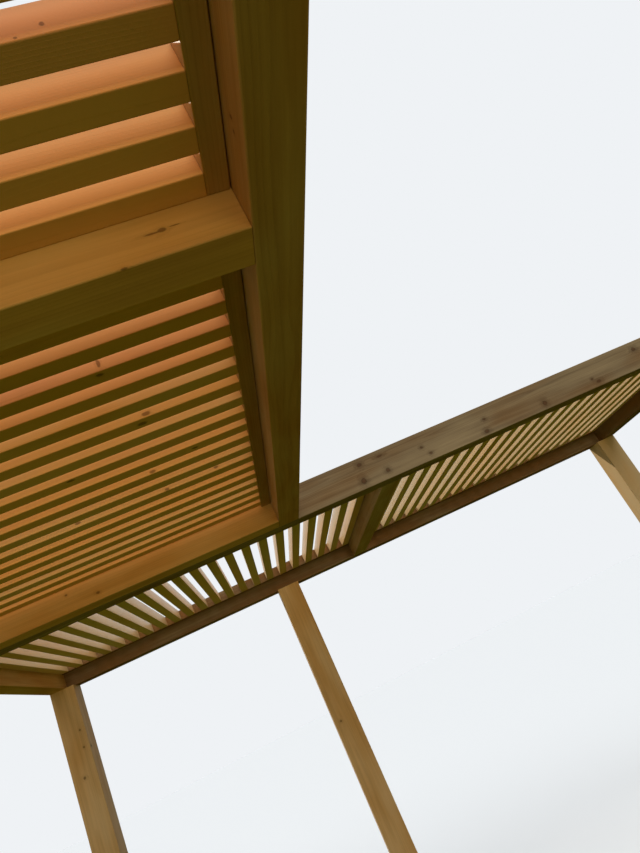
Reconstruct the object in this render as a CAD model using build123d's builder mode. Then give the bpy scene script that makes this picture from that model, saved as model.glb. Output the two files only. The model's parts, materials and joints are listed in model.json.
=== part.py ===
from build123d import *
import os

# An open timber pergola with an L-shaped plan, in millimetres.
# A back strip runs along X. A wing runs from the strip's front beam towards -Y.
# Origin: centre of the overall box on the ground. +X right, +Y back, +Z up.

# Overall plan
STRIP_LENGTH = 4160.0
STRIP_DEPTH = 1640.0
WING_WIDTH = 1620.0
WING_LENGTH = 3510.0

# Clear height from the ground to the underside of the beams
HEADROOM = 2200.0

# Sections of the planed timber
POST_SIDE = 140.0
BEAM_WIDTH = 90.0
BEAM_HEIGHT = 145.0
STILE_WIDTH = 42.0
SLAT_WIDTH = 45.0
LOUVRE_HEIGHT = 60.0

# Eased long edges: rounded on posts and beams, chamfered on stiles and slats
FRAME_ARRIS = 3.0
LOUVRE_ARRIS = 3.0

# Slats in each louvre panel
STRIP_LEFT_SLATS = 22
STRIP_RIGHT_SLATS = 21
WING_NEAR_SLATS = 20
WING_FAR_SLATS = 19

# Open gaps between a panel's outermost slat and the beam beside it.
# At every other end of a panel the outermost slat lies against the beam.
STRIP_LEFT_GAP_AT_CROSS = 6.0
STRIP_RIGHT_GAP_AT_CROSS = 74.0
STRIP_RIGHT_GAP_AT_END = 16.0
WING_FAR_GAP_AT_CROSS = 17.0
WING_FAR_GAP_AT_END = 31.0

# Timber sections: width, height, size of the eased edges and how they are eased
BEAM = (BEAM_WIDTH, BEAM_HEIGHT, FRAME_ARRIS, fillet)
STILE = (STILE_WIDTH, LOUVRE_HEIGHT, LOUVRE_ARRIS, chamfer)
SLAT = (SLAT_WIDTH, LOUVRE_HEIGHT, LOUVRE_ARRIS, chamfer)

# Lines of the plan, all at outer faces
LEFT = -STRIP_LENGTH / 2
RIGHT = STRIP_LENGTH / 2
BACK = (STRIP_DEPTH + WING_LENGTH) / 2
STRIP_FRONT = BACK - STRIP_DEPTH
WING_NEAR = STRIP_FRONT - WING_LENGTH
WING_RIGHT = LEFT + WING_WIDTH

# Middle lines of the cross beams that part the strip and the wing into two bays
STRIP_MIDDLE = (LEFT + RIGHT) / 2
WING_MIDDLE = (WING_NEAR + STRIP_FRONT) / 2

# The tops of the beams and of the louvre panels are level
TOP = HEADROOM + BEAM_HEIGHT

HALF_POST = POST_SIDE / 2
HALF_BEAM = BEAM_WIDTH / 2

os.makedirs("parts", exist_ok=True)


def finish(piece, label):
    """Name a finished piece and write it."""
    piece.part.label = label
    export_step(piece.part, f"parts/{label}.step")


def make_post(label, x, y):
    """A square post that stands on the ground and carries the beams on its top."""
    with BuildPart() as post:
        with BuildSketch():
            with Locations((x, y)):
                RectangleRounded(POST_SIDE, POST_SIDE, FRAME_ARRIS)
        extrude(amount=HEADROOM)
    finish(post, label)


def make_along_x(label, timber, x_from, x_to, y, count=1, pitch=0.0):
    """Timbers along X with their tops level, spread evenly about the line at y."""
    width, height, arris, ease = timber
    with BuildPart() as piece:
        with BuildSketch(Plane.YZ.offset(x_from)) as section:
            with Locations((y, TOP - height / 2)):
                with GridLocations(pitch, 0, count, 1):
                    Rectangle(width, height)
            ease(section.vertices(), arris)
        extrude(amount=x_to - x_from)
    finish(piece, label)


def make_along_y(label, timber, y_from, y_to, x, count=1, pitch=0.0):
    """Timbers along Y with their tops level, spread evenly about the line at x."""
    width, height, arris, ease = timber
    with BuildPart() as piece:
        with BuildSketch(Plane.ZX.offset(y_from)) as section:
            with Locations((TOP - height / 2, x)):
                with GridLocations(0, pitch, 1, count):
                    Rectangle(height, width)
            ease(section.vertices(), arris)
        extrude(amount=y_to - y_from)
    finish(piece, label)


def make_strip_panel(label, x_from, x_to, count, gap_from=0.0, gap_to=0.0):
    """A louvre panel of the strip: two stiles along X, and slats along Y between them."""
    y_from = STRIP_FRONT + BEAM_WIDTH
    y_to = BACK - BEAM_WIDTH
    half = STILE_WIDTH / 2
    make_along_x(f"{label}_front_stile", STILE, x_from, x_to, y_from + half)
    make_along_x(f"{label}_back_stile", STILE, x_from, x_to, y_to - half)

    first = x_from + gap_from + SLAT_WIDTH / 2
    last = x_to - gap_to - SLAT_WIDTH / 2
    middle = (first + last) / 2
    pitch = (last - first) / (count - 1)
    make_along_y(f"{label}_slats", SLAT, y_from + STILE_WIDTH, y_to - STILE_WIDTH, middle, count, pitch)


def make_wing_panel(label, y_from, y_to, count, gap_from=0.0, gap_to=0.0):
    """A louvre panel of the wing: two stiles along Y, and slats along X between them."""
    x_from = LEFT + BEAM_WIDTH
    x_to = WING_RIGHT - BEAM_WIDTH
    half = STILE_WIDTH / 2
    make_along_y(f"{label}_left_stile", STILE, y_from, y_to, x_from + half)
    make_along_y(f"{label}_right_stile", STILE, y_from, y_to, x_to - half)

    first = y_from + gap_from + SLAT_WIDTH / 2
    last = y_to - gap_to - SLAT_WIDTH / 2
    middle = (first + last) / 2
    pitch = (last - first) / (count - 1)
    make_along_x(f"{label}_slats", SLAT, x_from + STILE_WIDTH, x_to - STILE_WIDTH, middle, count, pitch)


# The outer posts stand flush with the outer faces of the beams they carry.
make_post("back_left_post", LEFT + HALF_POST, BACK - HALF_POST)
make_post("back_middle_post", WING_RIGHT - HALF_POST, BACK - HALF_POST)
make_post("back_right_post", RIGHT - HALF_POST, BACK - HALF_POST)
make_post("front_right_post", RIGHT - HALF_POST, STRIP_FRONT + HALF_POST)
make_post("near_left_post", LEFT + HALF_POST, WING_NEAR + HALF_POST)
make_post("near_right_post", WING_RIGHT - HALF_POST, WING_NEAR + HALF_POST)

# This post is centred under the joint where the wing's frame lies against the strip's.
make_post("inner_left_post", LEFT + HALF_POST, STRIP_FRONT)

# Frame of the strip: the long beams run through, and the short ones fit between them.
front = STRIP_FRONT + BEAM_WIDTH
back = BACK - BEAM_WIDTH
make_along_x("strip_back_beam", BEAM, LEFT, RIGHT, BACK - HALF_BEAM)
make_along_x("strip_front_beam", BEAM, LEFT, RIGHT, STRIP_FRONT + HALF_BEAM)
make_along_y("strip_left_end_beam", BEAM, front, back, LEFT + HALF_BEAM)
make_along_y("strip_cross_beam", BEAM, front, back, STRIP_MIDDLE)
make_along_y("strip_right_end_beam", BEAM, front, back, RIGHT - HALF_BEAM)

# Louvre panels of the strip, one in each bay
make_strip_panel(
    "strip_left_louvre",
    LEFT + BEAM_WIDTH,
    STRIP_MIDDLE - HALF_BEAM,
    STRIP_LEFT_SLATS,
    gap_to=STRIP_LEFT_GAP_AT_CROSS,
)
make_strip_panel(
    "strip_right_louvre",
    STRIP_MIDDLE + HALF_BEAM,
    RIGHT - BEAM_WIDTH,
    STRIP_RIGHT_SLATS,
    gap_from=STRIP_RIGHT_GAP_AT_CROSS,
    gap_to=STRIP_RIGHT_GAP_AT_END,
)

# Frame of the wing: the side beams run through, and the short ones fit between them.
left = LEFT + BEAM_WIDTH
right = WING_RIGHT - BEAM_WIDTH
make_along_y("wing_left_side_beam", BEAM, WING_NEAR, STRIP_FRONT, LEFT + HALF_BEAM)
make_along_y("wing_right_side_beam", BEAM, WING_NEAR, STRIP_FRONT, WING_RIGHT - HALF_BEAM)
make_along_x("wing_near_end_beam", BEAM, left, right, WING_NEAR + HALF_BEAM)
make_along_x("wing_cross_beam", BEAM, left, right, WING_MIDDLE)
make_along_x("wing_far_end_beam", BEAM, left, right, STRIP_FRONT - HALF_BEAM)

# Louvre panels of the wing, one in each bay
make_wing_panel(
    "wing_near_louvre",
    WING_NEAR + BEAM_WIDTH,
    WING_MIDDLE - HALF_BEAM,
    WING_NEAR_SLATS,
)
make_wing_panel(
    "wing_far_louvre",
    WING_MIDDLE + HALF_BEAM,
    STRIP_FRONT - BEAM_WIDTH,
    WING_FAR_SLATS,
    gap_from=WING_FAR_GAP_AT_CROSS,
    gap_to=WING_FAR_GAP_AT_END,
)
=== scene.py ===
import json
import math
import random

import bmesh
import bpy
from mathutils import Matrix, Vector


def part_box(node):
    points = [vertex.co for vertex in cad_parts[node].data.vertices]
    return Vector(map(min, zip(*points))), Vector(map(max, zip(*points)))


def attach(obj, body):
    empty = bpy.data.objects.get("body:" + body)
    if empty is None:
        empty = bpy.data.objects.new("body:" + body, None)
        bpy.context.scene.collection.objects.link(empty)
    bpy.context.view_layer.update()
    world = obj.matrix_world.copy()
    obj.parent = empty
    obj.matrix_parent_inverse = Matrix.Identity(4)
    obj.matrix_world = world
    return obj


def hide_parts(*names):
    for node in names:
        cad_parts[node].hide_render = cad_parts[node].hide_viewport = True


bl_info = {
    "name": "Timber pergola",
    "version": (1, 0, 0),
    "blender": (4, 5, 0),
    "location": "View3D > Sidebar > Pergola",
    "description": "Builds the planed and glazed timbers of an open pergola around its frame",
    "category": "Add Mesh",
}

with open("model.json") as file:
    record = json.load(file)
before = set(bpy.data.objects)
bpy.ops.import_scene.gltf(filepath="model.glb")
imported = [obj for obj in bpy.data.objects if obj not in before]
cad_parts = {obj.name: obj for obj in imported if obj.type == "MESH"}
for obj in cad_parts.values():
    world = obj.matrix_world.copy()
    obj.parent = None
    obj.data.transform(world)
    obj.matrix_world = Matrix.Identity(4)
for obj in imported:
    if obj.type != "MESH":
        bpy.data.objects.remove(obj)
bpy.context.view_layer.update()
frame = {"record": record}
BODY = "root"
MM = 0.001
ALONG_X, ALONG_Y, ALONG_Z = 0, 1, 2
# The other one of the two level ways
LEVEL_ACROSS = {ALONG_X: ALONG_Y, ALONG_Y: ALONG_X}

# Where the camera stands and how it is turned, from the vanishing lines of the timbers
CAMERA_PLACE = Vector((-0.7611, -1.6025, 1.5639))
CAMERA_YAW = math.radians(12.54)
CAMERA_PITCH = math.radians(20.84)
CAMERA_ROLL = math.radians(-26.80)
# In millimetres
SENSOR_WIDTH = 36.0

# Ways to the lamps: the sun lamp high behind the back strip and to the left, the fill high in front
SUN_DIRECTION = Vector((-0.385, 0.52, 0.83))
FILL_DIRECTION = Vector((0.10, -0.68, 0.72))

# Where the softbox stands, low in front of the wing's open end, and the place it is aimed at
SOFTBOX_PLACE = Vector((-0.6, -7.0, 1.2))
SOFTBOX_AIM = Vector((-0.6, 0.0, 2.3))

# Boards whose looks the photograph gives: hue from dull (0) over golden (0.5) to rosy (1), and darkness.
# The darkness is partly painted shade and light: the back beam, the right end beam and the back stiles,
# which lie in shade, are drawn darker than their wood, the front beam duller and darker for the shade on
# its face, and the back right post lighter for the light on its side
BOARD_LOOKS_AND_PAINTED_SHADE = {
    "strip_front_beam": (0.00, 0.78),
    "strip_back_beam": (0.12, 0.93),
    "strip_cross_beam": (0.15, 0.55),
    "strip_left_end_beam": (0.45, 0.40),
    "strip_right_end_beam": (0.15, 1.00),
    "wing_right_side_beam": (0.35, 0.47),
    "wing_cross_beam": (0.48, 0.14),
    "wing_far_end_beam": (0.45, 0.20),
    "strip_left_louvre_back_stile": (0.20, 1.00),
    "strip_right_louvre_back_stile": (0.20, 1.00),
    "back_left_post": (0.35, 0.10),
    "back_middle_post": (0.38, 0.12),
    "back_right_post": (0.22, -0.15),
}

# Hues of the far wing panel's slats from the cross beam on: rosy ones first, then golden ones
FAR_SLAT_HUES = (0.70, 0.60, 0.75, 0.90, 0.60, 0.40, 0.50, 0.35, 0.55, 0.45)

# Ranges of hue and darkness from which all other boards draw their looks
POST_LOOKS = {"hues": (0.35, 0.65), "tones": (0.10, 0.30)}
BEAM_LOOKS = {"hues": (0.30, 0.60), "tones": (0.20, 0.40)}
STILE_LOOKS = {"hues": (0.25, 0.40), "tones": (0.45, 0.65)}
SLAT_HUES = {
    "wing_near": (0.60, 0.95),
    "wing_far": (0.30, 0.60),
    "strip_left": (0.05, 0.25),
    "strip_right": (0.00, 0.20),
}
SLAT_TONES = (-0.25, 0.02)

# Knots that the photograph shows: middle, and half size along the timber and across it, in millimetres
BEAM_KNOTS = (
    (-16, 935, 2314, 15, 5), (-117, 935, 2313, 11, 9), (-10, 935, 2239, 10, 10), (-131, 935, 2237, 12, 14),
    (178, 935, 2273, 7, 6), (206, 935, 2232, 8, 6), (514, 935, 2278, 8, 6), (495, 935, 2220, 12, 9),
    (823, 935, 2232, 11, 13), (1106, 935, 2247, 6, 5), (1131, 935, 2225, 13, 8), (1395, 935, 2304, 12, 10),
    (-680, -865, 2248, 7, 4), (-693, -865, 2247, 14, 2), (-658, -865, 2250, 9, 1), (-754, -864, 2201, 6, 2),
    (-1413, 845, 2270, 5, 4), (-1299, 845, 2229, 7, 5),
)
SIDE_BEAM_KNOTS = ((-550, -1023, 2249, 3, 4), (-550, -1004, 2244, 3, 3))
SLAT_KNOTS = (
    (-738, -1159, 2303, 3, 4), (-770, -1159, 2290, 2, 2), (-871, -503, 2304, 4, 9), (-877, -491, 2285, 8, 5),
    (-831, -249, 2295, 10, 6), (-850, -225, 2285, 13, 8), (-1080, -69, 2285, 11, 6), (-754, 28, 2285, 9, 6),
    (-891, 90, 2292, 10, 5), (-715, 260, 2297, 8, 4), (-882, 260, 2290, 7, 4), (-1166, 260, 2298, 9, 5),
)
POST_KNOTS = (
    (-2013, 2435, 1694, 8, 8), (-1974, 2435, 1849, 6, 5), (-1970, 2435, 1945, 5, 5), (-561, 2435, 1340, 7, 7),
)

# The drying check through the knot of the wing's cross beam, and one along the strip's front beam
CROSS_BEAM_CHECK = {"start": -0.722, "end": -0.652, "line": 2.2475, "width": 1.2 * MM, "depth": 3 * MM}
FRONT_BEAM_CHECK = {"start": -0.440, "end": -0.060, "line": 2.2840, "width": 0.8 * MM, "depth": 2 * MM}

# All other drying checks: ranges of length and depth, how far off the middle of the face they may lie,
# range of width, the stretch of a post that they keep to, and how far they stay from a beam's ends
POST_CHECKS = {"lengths": (350 * MM, 1100 * MM), "shift": 35 * MM, "depths": (4 * MM, 9 * MM)}
BEAM_CHECKS = {"lengths": (250 * MM, 700 * MM), "shift": 30 * MM, "depths": (3 * MM, 6 * MM)}
CHECK_WIDTHS = (0.8 * MM, 1.6 * MM)
POST_STRETCH = (100 * MM, 2100 * MM)
BEAM_MARGIN = 100 * MM

# How a drying check runs: stations along it, bluntness of its ends, and its sway about its line, which
# is given in widths of the check and in radians from end to end
CHECK_STATIONS = 8
CHECK_BLUNTNESS = 0.6
CHECK_SWAY = 1.5
CHECK_SWAY_TURN = 5.1

# How far from the heart of the log each kind of timber is sawn, and the length, in metres, along which
# they are taken from it
POST_HEART = (5 * MM, 35 * MM)
BEAM_HEART = (30 * MM, 80 * MM)
LOUVRE_HEART = (40 * MM, 130 * MM)
LOG_LENGTH = 60.0

# Patterns of the wood: their cells along the grain and across it, and the detail of their noise.
# Real fibres are finer, and are drawn as coarse as they need to show.
STREAKS = {"along": 700 * MM, "across": 16 * MM, "detail": 3.0}
PATCHES = {"along": 400 * MM, "across": 110 * MM, "detail": 2.0}
FIBRES = {"along": 60 * MM, "across": 1.6 * MM, "detail": 2.0}
RAGGED_RIMS = {"along": 14 * MM, "across": 5 * MM, "detail": 2.0}

# Growth rings: turns of their wander to a metre along the grain and across it (a turn is about 900 mm
# long and 140 mm wide), how far they wander, how far they swell round a knot, and how dark the wood is at
# each place from one ring to the next
RING_TURNS = (1.1, 7.0, 7.0)
RING_WANDER = 30 * MM
RING_SWELLING = 7 * MM
RING_STOPS = ((0.0, 0.1), (0.5, 0.2), (0.86, 1.0), (0.97, 0.1))

# Scattered knots: width of the lanes that they lie in, smallest radius, and a ratio at which none shows
KNOT_LANE = 120 * MM
SMALLEST_KNOT = 3 * MM
NO_KNOT = 10.0
# Where a knot's core, its heart and the halo round it begin and are full, as distance over its radius
KNOT_CORE = (1.3, 0.6)
KNOT_HEART = (0.85, 0.45)
KNOT_HALO = (3.4, 0.8)
# The range of factors that make the rim of a knot ragged
KNOT_RAGGED = (0.55, 1.45)

# How much each pattern darkens the wood, and the level of the pattern that leaves it as it is
DARKENING = {
    "ring": (0.10, 0.0),
    "streak": (0.45, 0.5),
    "patch": (0.70, 0.5),
    "fibre": (0.14, 0.5),
    "halo": (0.15, 0.0),
    "arris": (-0.05, 0.0),
}
# How far the patches shift a board's hue, and how much of the wood the end grain and a knot cover
PATCH_HUE = 0.6
SAWN_COVER = 0.6
KNOT_COVER = 0.6

# Relief of the rings and fibres, how much the fibres roughen the glaze, and its sheen on most timbers
RELIEF_STRENGTH = 0.3
RELIEF_DEPTH = 0.3 * MM
FIBRE_RELIEF = 0.5
FIBRE_ROUGHNESS = 0.2
LOW_SHEEN = 0.02

ARRIS_SEGMENTS = 4
# Two places closer than this are the same, in metres
SAME_PLACE = 1e-6
# How much of a face's normal lies along an axis where the face is flat, and where it faces that way
FLAT = 0.999
FACING = 0.3

MATH = "ShaderNodeMath"
VECTOR_MATH = "ShaderNodeVectorMath"
ATTRIBUTE = "ShaderNodeAttribute"
NOISE = "ShaderNodeTexNoise"
MAP_RANGE = "ShaderNodeMapRange"
MIX = "ShaderNodeMix"
# A mix node keeps its colour sockets at these places
MIX_A, MIX_B, MIX_OUT = 6, 7, 2


def linear(hex_colour):
    """Linear RGB of an sRGB hex colour such as #A97C4A."""
    channels = [int(hex_colour[i:i + 2], 16) / 255 for i in (1, 3, 5)]
    return tuple(c / 12.92 if c <= 0.04045 else ((c + 0.055) / 1.055) ** 2.4 for c in channels)


def rgba(colour):
    return (*colour, 1.0)


def colour_property(name, description, hex_colour):
    return bpy.props.FloatVectorProperty(
        name=name, description=description, subtype="COLOR",
        size=3, min=0.0, max=1.0, default=linear(hex_colour))


def length_property(name, description, millimetres):
    return bpy.props.FloatProperty(
        name=name, description=description, subtype="DISTANCE", unit="LENGTH",
        min=0.0, default=millimetres * MM)


def angle_property(name, description, degrees):
    return bpy.props.FloatProperty(
        name=name, description=description, subtype="ANGLE", unit="ROTATION",
        min=0.0, default=math.radians(degrees))


def level_property(name, description, default):
    return bpy.props.FloatProperty(name=name, description=description, min=0.0, default=default)


def count_property(name, description, default):
    return bpy.props.IntProperty(name=name, description=description, min=2, default=default)


class PergolaTimber(bpy.types.PropertyGroup):
    """Sizes of the planed timbers that the frame leaves open."""

    frame_arris: length_property(
        "Frame arris", "Radius of the rounded long edges of posts and beams", 3)
    louvre_arris: length_property(
        "Louvre arris", "Radius of the rounded long edges of stiles and slats", 2)
    end_ease: length_property(
        "End ease", "Width of the light chamfer round the sawn ends", 0.5)
    ring_width: length_property(
        "Ring width", "Distance between two growth rings, drawn a little coarse", 5)
    joint_gap: length_property(
        "Joint gap", "Open joint at each end of a timber that is fitted between others", 0.8)
    side_gap: length_property(
        "Side gap", "Open joint between a stile and the beam beside it", 2)
    knot_spacing: length_property(
        "Knot spacing", "Usual distance between knots along a timber", 600)
    knot_radius: length_property(
        "Knot radius", "Radius of the largest knots", 15)


class PergolaFinish(bpy.types.PropertyGroup):
    """Colours of spruce under a honey-brown glaze."""

    dull: colour_property("Dull board", "Pale wood of a board that has gone grey-brown", "#E6CFA6")
    golden: colour_property("Golden board", "Pale wood of a golden board", "#EFC07E")
    rosy: colour_property("Rosy board", "Pale wood of a rosy board", "#F2BC8E")
    dull_late: colour_property("Dull late wood", "Dark streaks of a dull board", "#7A6852")
    golden_late: colour_property("Golden late wood", "Dark streaks of a golden board", "#9C6626")
    rosy_late: colour_property("Rosy late wood", "Dark streaks of a rosy board", "#A66440")
    knot: colour_property("Knot", "Heart of a knot", "#5A3524")
    rim: colour_property("Knot rim", "Bark ring round a knot", "#2E1A10")
    sawn: colour_property("End grain", "Sawn ends, where the glaze soaks in", "#7A5230")
    roughness: level_property("Roughness", "Roughness of the dried glaze", 0.42)
    sheen: level_property("Sheen", "Mirroring of the glaze on the sides of the strip's slats", 1.4)


class PergolaStage(bpy.types.PropertyGroup):
    """Light, floor and camera."""

    floor: colour_property("Floor", "Pale floor as the camera sees it", "#E1EAF5")
    bounce: colour_property("Bounce", "Floor colour that lights the undersides", "#4B5010")
    backdrop: colour_property("Backdrop", "Pale backdrop behind the object", "#EFF2F5")
    sky: colour_property("Sky light", "Colour of the soft light from all round", "#E2ECFA")
    sun: colour_property("Sun lamp", "Colour of the high sun lamp", "#FFF6E8")
    softbox: colour_property("Softbox", "Colour of the softbox in front", "#FFE5A8")
    sky_level: level_property("Sky level", "Strength of the soft light from all round", 0.25)
    sun_level: level_property("Sun level", "Strength of the high sun lamp", 2.65)
    sun_spread: angle_property("Sun spread", "Angle over which the sun lamp's shadows soften", 2)
    fill: colour_property("Fill lamp", "Colour of the high lamp in front", "#FFF4E4")
    fill_level: level_property("Fill level", "Strength of the high lamp in front", 1.2)
    fill_spread: angle_property("Fill spread", "Angle over which the fill lamp's shadows soften", 50)
    softbox_power: bpy.props.FloatProperty(
        name="Softbox power", description="Power of the softbox in front", subtype="POWER",
        unit="POWER", min=0.0, default=22.0)
    softbox_width: length_property("Softbox width", "Width of the softbox", 5000)
    softbox_height: length_property("Softbox height", "Height of the softbox", 1200)
    softbox_spread: angle_property("Softbox spread", "Angle over which the softbox's grid lets light out", 90)
    floor_size: length_property("Floor size", "Width of the floor", 80000)
    lens: bpy.props.FloatProperty(
        name="Lens", description="Focal length for a 36 mm sensor on the picture's long side",
        subtype="DISTANCE_CAMERA", default=25.75)


def add_node(tree, kind, inputs=(), **settings):
    """Add a node, set its options and fill its sockets with values or links."""
    node = tree.nodes.new(kind)
    for name, value in settings.items():
        setattr(node, name, value)
    for key, value in dict(inputs).items():
        socket = node.inputs[key]
        if isinstance(value, bpy.types.NodeSocket):
            tree.links.new(value, socket)
        else:
            socket.default_value = value
    return node


def scattered_knots(tree, grain, timber):
    """Distance to the nearest knot over its radius: one knot to each cell of a stretched lattice."""
    cell = (timber.knot_spacing, KNOT_LANE, KNOT_LANE)
    place = add_node(tree, VECTOR_MATH, {0: grain, 1: cell}, operation="DIVIDE").outputs[0]
    knots = add_node(tree, "ShaderNodeTexVoronoi", {"Vector": place, "Scale": 1.0})
    away = add_node(
        tree, VECTOR_MATH, {0: place, 1: knots.outputs["Position"]}, operation="SUBTRACT").outputs[0]
    away = add_node(tree, VECTOR_MATH, {0: away, 1: cell}, operation="MULTIPLY").outputs[0]
    away = add_node(tree, VECTOR_MATH, {0: away}, operation="LENGTH").outputs["Value"]
    luck = add_node(tree, "ShaderNodeSeparateColor", {0: knots.outputs["Color"]}).outputs[0]
    radius = add_node(tree, MAP_RANGE, {
        "Value": luck, "To Min": SMALLEST_KNOT, "To Max": timber.knot_radius}).outputs[0]
    ratio = add_node(tree, MATH, {0: away, 1: radius}, operation="DIVIDE").outputs[0]
    clear = add_node(tree, ATTRIBUTE, attribute_name="clear").outputs["Fac"]
    return add_node(tree, MATH, {0: clear, 1: NO_KNOT, 2: ratio}, operation="MULTIPLY_ADD").outputs[0]


def placed_knots(tree, ratio, knots, axis):
    """Join the knots that the photograph shows to the scattered ones."""
    place = add_node(tree, "ShaderNodeTexCoord").outputs["Object"]
    for x, y, z, along, across in knots:
        reach = Vector((across, across, across)) * MM
        reach[axis] = along * MM
        away = add_node(tree, VECTOR_MATH, {0: place, 1: (x * MM, y * MM, z * MM)}, operation="SUBTRACT")
        away = add_node(tree, VECTOR_MATH, {0: away.outputs[0], 1: reach}, operation="DIVIDE")
        away = add_node(tree, VECTOR_MATH, {0: away.outputs[0]}, operation="LENGTH")
        ratio = add_node(tree, MATH, {0: ratio, 1: away.outputs["Value"]}, operation="MINIMUM").outputs[0]
    return ratio


def growth_rings(tree, grain, halo, timber):
    """Dark latewood lines round the heart of the log, which wander along it and swell round knots."""
    slow = add_node(tree, VECTOR_MATH, {0: grain, 1: RING_TURNS}, operation="MULTIPLY").outputs[0]
    wander = add_node(tree, NOISE, {"Vector": slow, "Scale": 1.0, "Detail": 2.0}).outputs["Fac"]
    radius = add_node(tree, VECTOR_MATH, {0: grain, 1: (0.0, 1.0, 1.0)}, operation="MULTIPLY").outputs[0]
    radius = add_node(tree, VECTOR_MATH, {0: radius}, operation="LENGTH").outputs["Value"]
    for shift, reach in ((wander, RING_WANDER), (halo, RING_SWELLING)):
        radius = add_node(tree, MATH, {0: shift, 1: reach, 2: radius}, operation="MULTIPLY_ADD").outputs[0]
    count = add_node(tree, MATH, {0: radius, 1: timber.ring_width}, operation="DIVIDE").outputs[0]
    phase = add_node(tree, MATH, {0: count}, operation="FRACT").outputs[0]
    ring = add_node(tree, "ShaderNodeValToRGB", {0: phase})
    stops = ring.color_ramp.elements
    first, *between, last = RING_STOPS
    for stop, (place, level) in ((stops[0], first), (stops[1], last)):
        stop.position = place
        stop.color = rgba((level, level, level))
    for place, level in between:
        stops.new(place).color = rgba((level, level, level))
    return ring.outputs[0]


def grain_noise(tree, grain, along, across, detail):
    """Noise drawn out along the grain: cells of these lengths, in metres."""
    cells = add_node(
        tree, VECTOR_MATH, {0: grain, 1: (along, across, across)}, operation="DIVIDE").outputs[0]
    return add_node(tree, NOISE, {"Vector": cells, "Scale": 1.0, "Detail": detail}).outputs["Fac"]


def board_colours(tree, hue, dull, golden, rosy):
    """The colour of a board by its hue, from dull over golden to rosy."""
    ramp = add_node(tree, "ShaderNodeValToRGB", {0: hue})
    stops = ramp.color_ramp.elements
    stops[0].color = rgba(dull)
    stops[1].color = rgba(rosy)
    stops.new(0.5).color = rgba(golden)
    return ramp.outputs[0]


def glazed_spruce(name, finish, timber, knots, axis, sheen=LOW_SHEEN):
    """Planed spruce under a honey-brown glaze: soft streaks and rings, small knots, a low sheen."""
    material = bpy.data.materials.new(name)
    material.use_nodes = True
    tree = material.node_tree
    tree.nodes.clear()
    grain = add_node(tree, ATTRIBUTE, attribute_name="grain").outputs["Vector"]
    tone, hue, arris, sawn, upright = [
        add_node(tree, ATTRIBUTE, attribute_name=layer).outputs["Fac"]
        for layer in ("tone", "hue", "arris", "sawn", "upright")]

    ratio = placed_knots(tree, scattered_knots(tree, grain, timber), knots, axis)
    ragged = grain_noise(tree, grain, **RAGGED_RIMS)
    ragged = add_node(tree, MAP_RANGE, {
        "Value": ragged, "To Min": KNOT_RAGGED[0], "To Max": KNOT_RAGGED[1]}).outputs[0]
    ratio = add_node(tree, MATH, {0: ratio, 1: ragged}, operation="MULTIPLY").outputs[0]
    core, heart, halo = [
        add_node(tree, MAP_RANGE, {"Value": ratio, "From Min": begins, "From Max": full},
                 interpolation_type="SMOOTHSTEP").outputs[0]
        for begins, full in (KNOT_CORE, KNOT_HEART, KNOT_HALO)]
    ring = growth_rings(tree, grain, halo, timber)
    streak = grain_noise(tree, grain, **STREAKS)
    patch = grain_noise(tree, grain, **PATCHES)
    fibre = grain_noise(tree, grain, **FIBRES)

    # How dark each place is, about the board's own darkness
    patterns = {
        "ring": ring, "streak": streak, "patch": patch, "fibre": fibre, "halo": halo, "arris": arris}
    dark = tone
    for pattern, (share, neutral) in DARKENING.items():
        term = add_node(tree, MATH, {0: patterns[pattern], 1: share, 2: -share * neutral},
                        operation="MULTIPLY_ADD").outputs[0]
        dark = add_node(tree, MATH, {0: dark, 1: term}, operation="ADD").outputs[0]
    hue = add_node(tree, MATH, {0: patch, 1: PATCH_HUE, 2: hue}, operation="MULTIPLY_ADD").outputs[0]
    hue = add_node(tree, MATH, {0: hue, 1: PATCH_HUE / 2}, operation="SUBTRACT").outputs[0]
    pale = board_colours(tree, hue, finish.dull, finish.golden, finish.rosy)
    late = board_colours(tree, hue, finish.dull_late, finish.golden_late, finish.rosy_late)
    wood = add_node(tree, MIX, {0: dark, MIX_A: pale, MIX_B: late}, data_type="RGBA").outputs[MIX_OUT]
    knot = add_node(tree, MIX, {0: heart, MIX_A: rgba(finish.rim), MIX_B: rgba(finish.knot)},
                    data_type="RGBA").outputs[MIX_OUT]
    for place, cover, colour in ((sawn, SAWN_COVER, rgba(finish.sawn)), (core, KNOT_COVER, knot)):
        share = add_node(tree, MATH, {0: place, 1: cover}, operation="MULTIPLY").outputs[0]
        wood = add_node(tree, MIX, {0: share, MIX_A: wood, MIX_B: colour}, data_type="RGBA").outputs[MIX_OUT]

    height = add_node(tree, MATH, {0: fibre, 1: FIBRE_RELIEF, 2: ring}, operation="MULTIPLY_ADD").outputs[0]
    bump = add_node(tree, "ShaderNodeBump", {
        "Strength": RELIEF_STRENGTH, "Distance": RELIEF_DEPTH, "Height": height})
    rough = add_node(tree, MATH, {0: fibre, 1: FIBRE_ROUGHNESS, 2: finish.roughness - FIBRE_ROUGHNESS / 2},
                     operation="MULTIPLY_ADD").outputs[0]
    # Undersides mirror nothing, because the studio's floor is paler than the ground under a pergola
    mirrored = add_node(tree, MATH, {0: upright, 1: sheen}, operation="MULTIPLY").outputs[0]
    shader = add_node(tree, "ShaderNodeBsdfPrincipled", {
        "Base Color": wood, "Roughness": rough, "IOR": 1.5, "Specular IOR Level": mirrored,
        "Normal": bump.outputs[0]})
    add_node(tree, "ShaderNodeOutputMaterial", {"Surface": shader.outputs[0]})
    return material


def timber_mesh():
    """An empty mesh with the layers that the glazed spruce reads."""
    bm = bmesh.new()
    bm.verts.layers.float_vector.new("grain")
    for name in ("tone", "hue"):
        bm.verts.layers.float.new(name)
    for name in ("arris", "sawn", "clear", "upright"):
        bm.faces.layers.float.new(name)
    return bm


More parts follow.
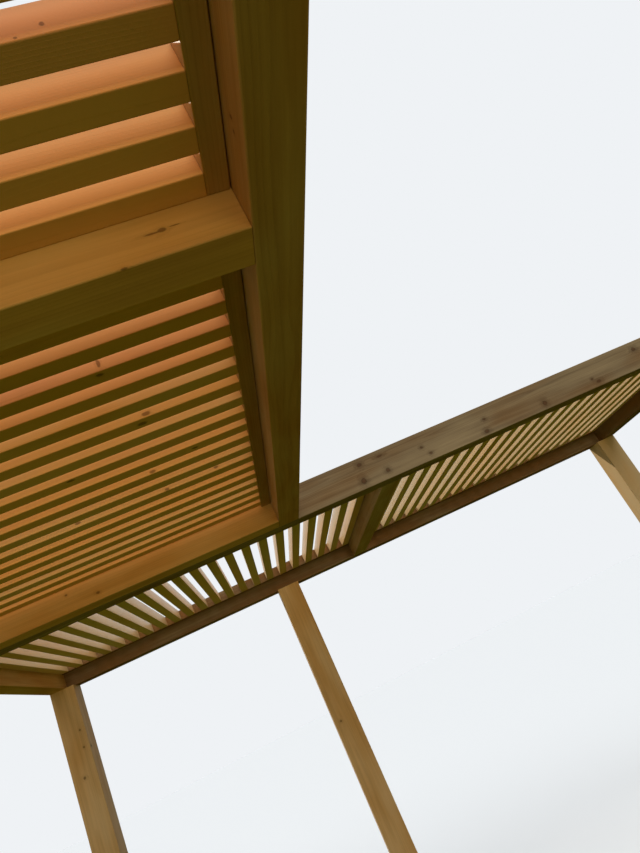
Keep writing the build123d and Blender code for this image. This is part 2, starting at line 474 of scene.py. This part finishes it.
def add_timber(bm, low, high, axis, arris, ease):
    """Add a planed timber with rounded long edges and lightly eased ends, and return its points."""
    others = set(bm.verts)
    box = bmesh.ops.create_cube(bm, size=1.0)["verts"]
    bmesh.ops.scale(bm, vec=high - low, verts=box)
    bmesh.ops.translate(bm, vec=(low + high) / 2, verts=box)
    half = (high - low)[axis] / 2
    edges = [e for e in bm.edges if e.verts[0] not in others]
    long_edges = [e for e in edges if abs(e.verts[0].co[axis] - e.verts[1].co[axis]) > half]
    bmesh.ops.bevel(bm, geom=long_edges, offset=arris, offset_type="OFFSET", segments=ARRIS_SEGMENTS,
                    profile=0.5, affect="EDGES", material=-1)
    bm.normal_update()
    ends = [f for f in bm.faces if f.verts[0] not in others and abs(f.normal[axis]) > FLAT]
    rims = [e for f in ends for e in f.edges]
    bmesh.ops.bevel(bm, geom=rims, offset=ease, offset_type="OFFSET", segments=1,
                    profile=0.5, affect="EDGES", material=-1)
    return [v for v in bm.verts if v not in others]


def draw_check(luck, stretch, middle, lengths, shift, depths):
    """Draw by luck where a drying check runs within a stretch of a face, and how wide and deep it opens."""
    length = luck.uniform(*lengths)
    start = luck.uniform(stretch[0], stretch[1] - length)
    line = middle + luck.uniform(-shift, shift)
    width = luck.uniform(*CHECK_WIDTHS)
    depth = luck.uniform(*depths)
    return {"start": start, "end": start + length, "line": line, "width": width, "depth": depth}


def open_check(bm, axis, face_axis, side, start, end, line, width, depth):
    """Open a drying check in one face of a timber: a narrow split along the grain."""
    across = ALONG_X + ALONG_Y + ALONG_Z - axis - face_axis
    cuts = [(axis, start + (end - start) * i / CHECK_STATIONS) for i in range(CHECK_STATIONS + 1)]
    # Two lips and the valley between them
    cuts += [(across, line + share * width) for share in (-0.5, 0.0, 0.5)]
    for cut_axis, value in cuts:
        normal = Vector((0.0, 0.0, 0.0))
        normal[cut_axis] = 1.0
        bmesh.ops.bisect_plane(bm, geom=bm.verts[:] + bm.edges[:] + bm.faces[:], dist=SAME_PLACE,
                               plane_co=value * normal, plane_no=normal)
    face = max(v.co[face_axis] * side for v in bm.verts) * side
    on_lips = 0.6 * width
    in_valley = 0.1 * width
    for v in bm.verts:
        offset = v.co[across] - line
        on_face = abs(v.co[face_axis] - face) < SAME_PLACE
        if not on_face or not start < v.co[axis] < end or abs(offset) > on_lips:
            continue
        share = (v.co[axis] - start) / (end - start)
        opening = math.sin(math.pi * share) ** CHECK_BLUNTNESS
        sway = CHECK_SWAY * width * math.sin(CHECK_SWAY_TURN * share)
        v.co[across] = line + offset * opening + sway
        if abs(offset) < in_valley:
            v.co[face_axis] -= side * depth * opening


def board_look(node, luck, hues, tones):
    """A board's hue and darkness: as the photograph gives them, with painted shade or light on some, or else
    drawn from these ranges.
    """
    drawn = (luck.uniform(*hues), luck.uniform(*tones))
    return BOARD_LOOKS_AND_PAINTED_SHADE.get(node, drawn)


def lay_grain(bm, points, axis, look, luck, heart=None):
    """Give a timber its own place in a log, along the grain and from the heart, and its own colour."""
    grain = bm.verts.layers.float_vector["grain"]
    tone_layer = bm.verts.layers.float["tone"]
    hue_layer = bm.verts.layers.float["hue"]
    middle = sum((v.co for v in points), Vector()) / len(points)
    turn = luck.uniform(0, math.tau)
    away = heart if heart is not None else luck.uniform(*LOUVRE_HEART)
    start = luck.uniform(0.0, LOG_LENGTH)
    hue, tone = look
    across, up = [i for i in (ALONG_X, ALONG_Y, ALONG_Z) if i != axis]
    for v in points:
        local = v.co - middle
        v[grain] = Vector((local[axis] + start, local[across] + away * math.cos(turn),
                           local[up] + away * math.sin(turn)))
        v[tone_layer] = tone
        v[hue_layer] = hue


def finish_piece(bm, axis, node, material, seen=True):
    """Mark each face for the glaze and put the piece in its node's place.

    The front and the underside of a board that the photograph shows take only the placed knots.
    """
    bm.normal_update()
    arris, sawn, clear, upright = [
        bm.faces.layers.float[name] for name in ("arris", "sawn", "clear", "upright")]
    for face in bm.faces:
        flat = max(abs(c) for c in face.normal) > FLAT
        face.smooth = not flat
        face[arris] = 0.0 if flat else 1.0
        face[sawn] = 1.0 if abs(face.normal[axis]) > FLAT else 0.0
        face[clear] = 1.0 if seen and min(face.normal.y, face.normal.z) < -FACING else 0.0
        face[upright] = 1.0 if abs(face.normal.z) < FACING else 0.0
    mesh = bpy.data.meshes.new(f"{node}_timber")
    bm.to_mesh(mesh)
    bm.free()
    mesh.materials.append(material)
    piece = bpy.data.objects.new(f"{node}_timber", mesh)
    bpy.context.scene.collection.objects.link(piece)
    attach(piece, BODY)
    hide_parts(node)


def nodes_of_slot(slot):
    """The CAD nodes that take their finish from this slot."""
    return sorted(s["node"] for s in frame["record"]["subparts"] if s["material_slot"] == slot)


def long_axis(low, high):
    """The way along which a timber is longest."""
    size = high - low
    return max((ALONG_X, ALONG_Y, ALONG_Z), key=lambda i: size[i])


def shorten(low, high, axis, gap):
    """Draw both ends of a fitted timber back by the open joint."""
    low[axis] += gap
    high[axis] -= gap


class PERGOLA_OT_posts(bpy.types.Operator):
    """Build the square posts, with drying checks along their faces"""
    bl_idname = "pergola.posts"
    bl_label = "Posts"

    def execute(self, context):
        timber = context.scene.pergola_timber
        material = glazed_spruce(
            "glazed_spruce_posts", context.scene.pergola_finish, timber, POST_KNOTS, ALONG_Z)
        for node in nodes_of_slot("post_timber"):
            luck = random.Random(node)
            low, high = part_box(node)
            bm = timber_mesh()
            add_timber(bm, low, high, ALONG_Z, timber.frame_arris, timber.end_ease)
            for face_axis, side in ((ALONG_X, -1), (ALONG_X, 1), (ALONG_Y, 1)):
                across = LEVEL_ACROSS[face_axis]
                middle = (low[across] + high[across]) / 2
                check = draw_check(luck, POST_STRETCH, middle, **POST_CHECKS)
                open_check(bm, ALONG_Z, face_axis, side, **check)
            look = board_look(node, luck, **POST_LOOKS)
            lay_grain(bm, bm.verts[:], ALONG_Z, look, luck, heart=luck.uniform(*POST_HEART))
            finish_piece(bm, ALONG_Z, node, material, seen=node in BOARD_LOOKS_AND_PAINTED_SHADE)
        return {"FINISHED"}


class PERGOLA_OT_beams(bpy.types.Operator):
    """Build the beams on edge, with a few drying checks"""
    bl_idname = "pergola.beams"
    bl_label = "Beams"

    def execute(self, context):
        timber = context.scene.pergola_timber
        finish = context.scene.pergola_finish
        materials = {
            ALONG_X: glazed_spruce("glazed_spruce_beams_along_x", finish, timber, BEAM_KNOTS, ALONG_X),
            ALONG_Y: glazed_spruce("glazed_spruce_beams_along_y", finish, timber, SIDE_BEAM_KNOTS, ALONG_Y),
        }
        for node in nodes_of_slot("beam_timber"):
            luck = random.Random(node)
            low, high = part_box(node)
            axis = long_axis(low, high)
            if node.endswith(("cross_beam", "end_beam")):
                shorten(low, high, axis, timber.joint_gap)
            bm = timber_mesh()
            add_timber(bm, low, high, axis, timber.frame_arris, timber.end_ease)
            stretch = (low[axis] + BEAM_MARGIN, high[axis] - BEAM_MARGIN)
            check = draw_check(luck, stretch, (low.z + high.z) / 2, **BEAM_CHECKS)
            open_check(bm, axis, LEVEL_ACROSS[axis], 1, **check)
            if node == "wing_cross_beam":
                open_check(bm, axis, ALONG_Y, -1, **CROSS_BEAM_CHECK)
            if node == "strip_front_beam":
                open_check(bm, axis, ALONG_Y, -1, **FRONT_BEAM_CHECK)
            look = board_look(node, luck, **BEAM_LOOKS)
            lay_grain(bm, bm.verts[:], axis, look, luck, heart=luck.uniform(*BEAM_HEART))
            finish_piece(bm, axis, node, materials[axis], seen=node in BOARD_LOOKS_AND_PAINTED_SHADE)
        return {"FINISHED"}


class PERGOLA_OT_stiles(bpy.types.Operator):
    """Build the stiles that frame each louvre panel along its beams"""
    bl_idname = "pergola.stiles"
    bl_label = "Stiles"

    def execute(self, context):
        timber = context.scene.pergola_timber
        material = glazed_spruce("glazed_spruce_stiles", context.scene.pergola_finish, timber, (), ALONG_X)
        for node in nodes_of_slot("stile_timber"):
            luck = random.Random(node)
            low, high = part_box(node)
            axis = long_axis(low, high)
            shorten(low, high, axis, timber.joint_gap)
            across = LEVEL_ACROSS[axis]
            if node.endswith(("left_stile", "front_stile")):
                low[across] += timber.side_gap
            else:
                high[across] -= timber.side_gap
            bm = timber_mesh()
            add_timber(bm, low, high, axis, timber.louvre_arris, timber.end_ease)
            look = board_look(node, luck, **STILE_LOOKS)
            lay_grain(bm, bm.verts[:], axis, look, luck)
            finish_piece(bm, axis, node, material)
        return {"FINISHED"}


class PERGOLA_OT_slats(bpy.types.Operator):
    """Build the slats of each louvre panel, spread evenly over the length that they take"""
    bl_idname = "pergola.slats"
    bl_label = "Slats"

    strip_left: count_property("Left strip panel", "Slats in the strip's left panel", 22)
    strip_right: count_property("Right strip panel", "Slats in the strip's right panel", 21)
    wing_near: count_property("Near wing panel", "Slats in the wing's near panel", 20)
    wing_far: count_property("Far wing panel", "Slats in the wing's far panel", 19)
    slat_width: length_property("Slat width", "Width of a slat as seen from below", 45)
    end_gap: length_property("End gap", "Open joint at each end of a slat", 0.2)

    def execute(self, context):
        timber = context.scene.pergola_timber
        finish = context.scene.pergola_finish
        materials = {
            ALONG_X: glazed_spruce("glazed_spruce_wing_slats", finish, timber, SLAT_KNOTS, ALONG_X),
            ALONG_Y: glazed_spruce(
                "glazed_spruce_strip_slats", finish, timber, (), ALONG_Y, finish.sheen),
        }
        for node in nodes_of_slot("slat_timber"):
            luck = random.Random(node)
            low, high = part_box(node)
            panel = node.removesuffix("_louvre_slats")
            axis = ALONG_Y if panel.startswith("strip") else ALONG_X
            spread = LEVEL_ACROSS[axis]
            count = getattr(self, panel)
            pitch = (high[spread] - low[spread] - self.slat_width) / (count - 1)
            shorten(low, high, axis, self.end_gap)
            bm = timber_mesh()
            for i in range(count):
                slat_low = low.copy()
                slat_high = high.copy()
                slat_low[spread] = low[spread] + i * pitch
                slat_high[spread] = slat_low[spread] + self.slat_width
                points = add_timber(bm, slat_low, slat_high, axis, timber.louvre_arris, timber.end_ease)
                hue = luck.uniform(*SLAT_HUES[panel])
                tone = luck.uniform(*SLAT_TONES)
                if panel == "wing_far" and i < len(FAR_SLAT_HUES):
                    hue = FAR_SLAT_HUES[i]
                lay_grain(bm, points, axis, (hue, tone), luck)
            finish_piece(bm, axis, node, materials[axis])
        return {"FINISHED"}


class PERGOLA_OT_stage(bpy.types.Operator):
    """Lay the pale floor, light the object softly and set the camera"""
    bl_idname = "pergola.stage"
    bl_label = "Stage"

    def execute(self, context):
        stage = context.scene.pergola_stage
        self.lay_floor(context, stage)
        self.light_world(context, stage)
        self.hang_sun(context, "sun_lamp", SUN_DIRECTION, stage.sun, stage.sun_level, stage.sun_spread)
        self.hang_sun(context, "fill_lamp", FILL_DIRECTION, stage.fill, stage.fill_level, stage.fill_spread)
        self.stand_softbox(context, stage)
        self.set_camera(context, stage)
        context.scene.view_settings.view_transform = "Standard"
        return {"FINISHED"}

    def lay_floor(self, context, stage):
        """A floor that is pale to the camera and lights the undersides as dull ground does."""
        material = bpy.data.materials.new("studio_floor")
        material.use_nodes = True
        tree = material.node_tree
        tree.nodes.clear()
        path = add_node(tree, "ShaderNodeLightPath")
        seen = add_node(tree, MATH, {0: path.outputs["Is Camera Ray"], 1: path.outputs["Is Glossy Ray"]},
                        operation="MAXIMUM").outputs[0]
        colour = add_node(tree, MIX, {0: seen, MIX_A: rgba(stage.bounce), MIX_B: rgba(stage.floor)},
                          data_type="RGBA").outputs[MIX_OUT]
        shader = add_node(tree, "ShaderNodeBsdfDiffuse", {"Color": colour})
        add_node(tree, "ShaderNodeOutputMaterial", {"Surface": shader.outputs[0]})
        bm = bmesh.new()
        bmesh.ops.create_grid(bm, x_segments=1, y_segments=1, size=stage.floor_size / 2)
        mesh = bpy.data.meshes.new("floor")
        bm.to_mesh(mesh)
        bm.free()
        mesh.materials.append(material)
        floor = bpy.data.objects.new("floor", mesh)
        context.scene.collection.objects.link(floor)

    def light_world(self, context, stage):
        """Soft light from all round, behind which the camera sees a pale backdrop."""
        world = bpy.data.worlds.new("studio_world")
        context.scene.world = world
        world.use_nodes = True
        tree = world.node_tree
        tree.nodes.clear()
        path = add_node(tree, "ShaderNodeLightPath")
        seen = path.outputs["Is Camera Ray"]
        for ray in ("Is Glossy Ray", "Is Transmission Ray"):
            seen = add_node(tree, MATH, {0: seen, 1: path.outputs[ray]}, operation="MAXIMUM").outputs[0]
        light = add_node(tree, "ShaderNodeBackground", {
            "Color": rgba(stage.sky), "Strength": stage.sky_level})
        backdrop = add_node(tree, "ShaderNodeBackground", {
            "Color": rgba(stage.backdrop), "Strength": 1.0})
        both = add_node(tree, "ShaderNodeMixShader", {
            0: seen, 1: light.outputs[0], 2: backdrop.outputs[0]})
        add_node(tree, "ShaderNodeOutputWorld", {"Surface": both.outputs[0]})

    def hang_sun(self, context, name, direction, colour, level, spread):
        """A lamp so far off that its light comes from one side over the whole object."""
        data = bpy.data.lights.new(name, "SUN")
        data.color = colour
        data.energy = level
        data.angle = spread
        lamp = bpy.data.objects.new(name, data)
        lamp.rotation_euler = direction.to_track_quat("Z", "Y").to_euler()
        context.scene.collection.objects.link(lamp)

    def stand_softbox(self, context, stage):
        """The wide low lamp that lights the faces towards the camera."""
        data = bpy.data.lights.new("softbox", "AREA")
        data.shape = "RECTANGLE"
        data.size = stage.softbox_width
        data.size_y = stage.softbox_height
        data.spread = stage.softbox_spread
        data.color = stage.softbox
        data.energy = stage.softbox_power
        lamp = bpy.data.objects.new("softbox", data)
        lamp.location = SOFTBOX_PLACE
        lamp.rotation_euler = (SOFTBOX_PLACE - SOFTBOX_AIM).to_track_quat("Z", "Y").to_euler()
        lamp.visible_camera = False
        context.scene.collection.objects.link(lamp)

    def set_camera(self, context, stage):
        """Aim by yaw and pitch, then turn about the line of sight by the roll."""
        forward = Vector((math.sin(CAMERA_YAW) * math.cos(CAMERA_PITCH),
                          math.cos(CAMERA_YAW) * math.cos(CAMERA_PITCH), math.sin(CAMERA_PITCH)))
        right = Vector((math.cos(CAMERA_YAW), -math.sin(CAMERA_YAW), 0.0))
        up = right.cross(forward)
        x_axis = math.cos(CAMERA_ROLL) * right + math.sin(CAMERA_ROLL) * up
        y_axis = math.cos(CAMERA_ROLL) * up - math.sin(CAMERA_ROLL) * right
        turn = Matrix((x_axis, y_axis, -forward)).transposed().to_4x4()
        data = bpy.data.cameras.new("camera")
        data.sensor_width = SENSOR_WIDTH
        data.lens = stage.lens
        camera = bpy.data.objects.new("camera", data)
        camera.matrix_world = Matrix.Translation(CAMERA_PLACE) @ turn
        context.scene.collection.objects.link(camera)
        context.scene.camera = camera


class PERGOLA_PT_panel(bpy.types.Panel):
    """The pergola's steps and settings in the sidebar"""
    bl_idname = "PERGOLA_PT_panel"
    bl_label = "Pergola"
    bl_space_type = "VIEW_3D"
    bl_region_type = "UI"
    bl_category = "Pergola"

    def draw(self, context):
        layout = self.layout
        for step in STEPS:
            layout.operator(step.bl_idname)
        for group in GROUPS:
            settings = getattr(context.scene, group)
            for name in settings.__annotations__:
                layout.prop(settings, name)


GROUPS = {
    "pergola_timber": PergolaTimber,
    "pergola_finish": PergolaFinish,
    "pergola_stage": PergolaStage,
}
STEPS = (PERGOLA_OT_posts, PERGOLA_OT_beams, PERGOLA_OT_stiles, PERGOLA_OT_slats, PERGOLA_OT_stage)


def register():
    for cls in (*GROUPS.values(), *STEPS, PERGOLA_PT_panel):
        bpy.utils.register_class(cls)
    for name, group in GROUPS.items():
        setattr(bpy.types.Scene, name, bpy.props.PointerProperty(type=group))


def unregister():
    for name in GROUPS:
        delattr(bpy.types.Scene, name)
    for cls in reversed((*GROUPS.values(), *STEPS, PERGOLA_PT_panel)):
        bpy.utils.unregister_class(cls)


def main():
    register()
    bpy.ops.pergola.posts()
    bpy.ops.pergola.beams()
    bpy.ops.pergola.stiles()
    bpy.ops.pergola.slats()
    bpy.ops.pergola.stage()


if __name__ == "__main__":
    main()
